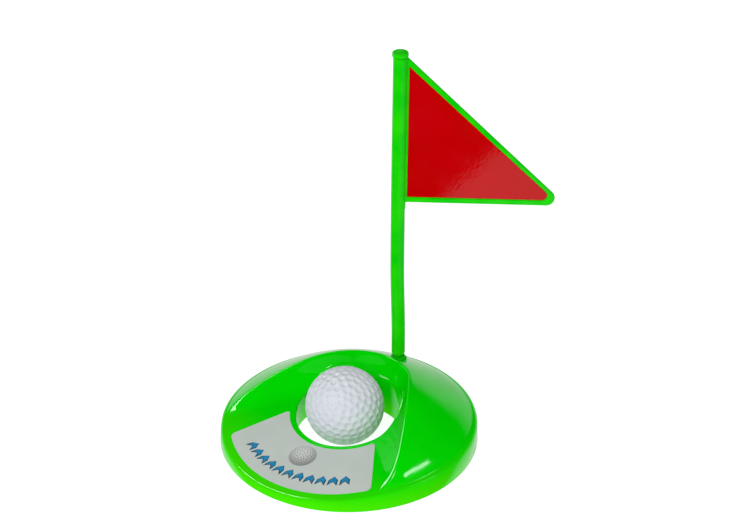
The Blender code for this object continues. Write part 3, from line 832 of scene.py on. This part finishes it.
# white paper lit from below: it glows evenly, so that shadows on it stay faint
def makeFloor():
    material = bpy.data.materials.new("paperFloor")
    material.use_nodes = True
    nodes, links = material.node_tree.nodes, material.node_tree.links
    shader = nodes["Principled BSDF"]
    shader.inputs["Roughness"].default_value = 0.9
    shader.inputs["Specular IOR Level"].default_value = 0.0
    shader.inputs["Emission Color"].default_value = (1.0, 1.0, 1.0, 1.0)
    shader.inputs["Emission Strength"].default_value = floorSheet["glow"]
    grain = nodes.new("ShaderNodeTexNoise")
    grain.inputs["Scale"].default_value = floorSheet["grainScale"]
    shades = nodes.new("ShaderNodeMix")
    shades.data_type = "RGBA"
    links.new(grain.outputs["Fac"], shades.inputs["Factor"])
    shades.inputs["A"].default_value = (*floorSheet["color"], 1.0)
    shades.inputs["B"].default_value = (*floorSheet["grainColor"], 1.0)
    links.new(shades.outputs["Result"], shader.inputs["Base Color"])
    side = floorSheet["side"]
    corners = [(-side, -side, 0.0), (side, -side, 0.0), (side, side, 0.0), (-side, side, 0.0)]
    floor = addPiece("paperFloor", corners, [(0, 1, 2, 3)], material)
    floor.location = (baseX, baseY, shellLow.z)
    floor.visible_glossy = False


# a bright card on the floor to the right, which only shows as a reflection in glossy faces
card = {"corners": [(0.120, -0.020), (0.130, -0.168), (0.600, -0.403), (0.600, 0.520),
                    (0.110, 0.120)],
        "height": 0.0005, "glow": 0.62}


def makeCard():
    material = bpy.data.materials.new("cardGlow")
    material.use_nodes = True
    shader = material.node_tree.nodes["Principled BSDF"]
    shader.inputs["Base Color"].default_value = (0.0, 0.0, 0.0, 1.0)
    shader.inputs["Emission Color"].default_value = (1.0, 1.0, 1.0, 1.0)
    shader.inputs["Emission Strength"].default_value = card["glow"]
    corners = [(x, y, card["height"]) for x, y in card["corners"]]
    sheet = addPiece("reflectedCard", corners, [tuple(range(len(corners)))], material)
    sheet.visible_camera = False
    sheet.visible_diffuse = False
    sheet.visible_shadow = False


studio = {
    "around": 0.62, "seen": 0.97,
    # the backdrop that glossy faces show: which way it stands, how bright, how high
    "backdrop": (-0.649, 0.760), "backdropGlow": 1.0, "backdropFrom": 0.15, "backdropTo": 0.40,
    "backdropTop": 0.30, "backdropFade": 0.10,
    # fills light the matt side of things, and strips are only seen as highlights
    "lamps": [
        {"name": "frontFill", "direction": (0.26, -0.70, 0.66), "distance": 1.6,
         "size": (0.8, 0.6), "power": 14.0, "shine": False},
        {"name": "rightStrip", "direction": (0.500, 0.320, 0.800), "distance": 1.3,
         "size": (0.05, 0.46), "power": 1.1, "shine": True},
        {"name": "ridgeSpot", "direction": (0.24, -0.03, 0.97), "distance": 1.3,
         "size": (0.10, 0.12), "power": 0.5, "shine": True},
        {"name": "rimStrip", "direction": (-0.536, -0.095, 0.839), "distance": 1.3,
         "size": (0.50, 0.25), "power": 6.0, "shine": True},
    ],
}


def makeWorld():
    world = bpy.data.worlds.new("studio")
    bpy.context.scene.world = world
    world.use_nodes = True
    nodes, links = world.node_tree.nodes, world.node_tree.links
    nodes.clear()
    output = nodes.new("ShaderNodeOutputWorld")
    path = nodes.new("ShaderNodeLightPath")

    def background(strength):
        node = nodes.new("ShaderNodeBackground")
        node.inputs["Strength"].default_value = strength
        return node

    def ranged(value, fromLow, fromHigh, toLow, toHigh):
        node = nodes.new("ShaderNodeMapRange")
        node.interpolation_type = "SMOOTHSTEP"
        for name, number in (("From Min", fromLow), ("From Max", fromHigh),
                             ("To Min", toLow), ("To Max", toHigh)):
            node.inputs[name].default_value = number
        links.new(value, node.inputs["Value"])
        return node.outputs["Result"]

    even, seen, shine = background(studio["around"]), background(studio["seen"]), background(1.0)
    toward = nodes.new("ShaderNodeTexCoord").outputs["Generated"]
    split = nodes.new("ShaderNodeSeparateXYZ")
    links.new(toward, split.inputs["Vector"])
    behind = nodes.new("ShaderNodeVectorMath")
    behind.operation = "DOT_PRODUCT"
    behind.inputs[1].default_value = (*studio["backdrop"], 0.0)
    links.new(toward, behind.inputs[0])
    top, fade = studio["backdropTop"], studio["backdropFade"]
    glow = nodes.new("ShaderNodeMath")
    glow.operation = "MULTIPLY"
    links.new(ranged(behind.outputs["Value"], studio["backdropFrom"], studio["backdropTo"],
                     0.0, studio["backdropGlow"]), glow.inputs[0])
    links.new(ranged(split.outputs["Z"], top - fade, top + fade, 1.0, 0.0), glow.inputs[1])
    links.new(glow.outputs[0], shine.inputs["Strength"])
    first, second = nodes.new("ShaderNodeMixShader"), nodes.new("ShaderNodeMixShader")
    links.new(path.outputs["Is Glossy Ray"], first.inputs["Fac"])
    links.new(even.outputs[0], first.inputs[1])
    links.new(shine.outputs[0], first.inputs[2])
    links.new(path.outputs["Is Camera Ray"], second.inputs["Fac"])
    links.new(first.outputs[0], second.inputs[1])
    links.new(seen.outputs[0], second.inputs[2])
    links.new(second.outputs[0], output.inputs["Surface"])


def makeLamps():
    for lamp in studio["lamps"]:
        light = bpy.data.lights.new(lamp["name"], "AREA")
        light.shape = "RECTANGLE"
        light.size, light.size_y = lamp["size"]
        light.energy = lamp["power"]
        holder = bpy.data.objects.new(lamp["name"], light)
        bpy.context.scene.collection.objects.link(holder)
        toward = Vector(lamp["direction"]).normalized()
        holder.location = Vector((baseX, baseY, 0.0)) + toward * lamp["distance"]
        holder.rotation_euler = Vector((0.0, 0.0, 1.0)).rotation_difference(toward).to_euler()
        holder.visible_diffuse, holder.visible_glossy = not lamp["shine"], lamp["shine"]


viewpoint = {"offset": (0.5370, -0.6070, 0.5644), "down": 29.477, "heading": 40.5, "lens": 86.4,
             "sensor": 36.0, "clip": (0.01, 50.0)}


def makeCamera():
    lens = bpy.data.cameras.new("viewCamera")
    lens.lens = viewpoint["lens"]
    lens.sensor_width = viewpoint["sensor"]
    lens.clip_start, lens.clip_end = viewpoint["clip"]
    camera = bpy.data.objects.new("viewCamera", lens)
    bpy.context.scene.collection.objects.link(camera)
    camera.location = Vector((baseX, baseY, 0.0)) + Vector(viewpoint["offset"])
    camera.rotation_euler = (math.radians(90.0 - viewpoint["down"]), 0.0,
                             math.radians(viewpoint["heading"]))
    bpy.context.scene.camera = camera


makeFloor()
makeCard()
makeWorld()
makeLamps()
makeCamera()
bpy.context.scene.view_settings.view_transform = "Standard"
print("floor, light and camera made")
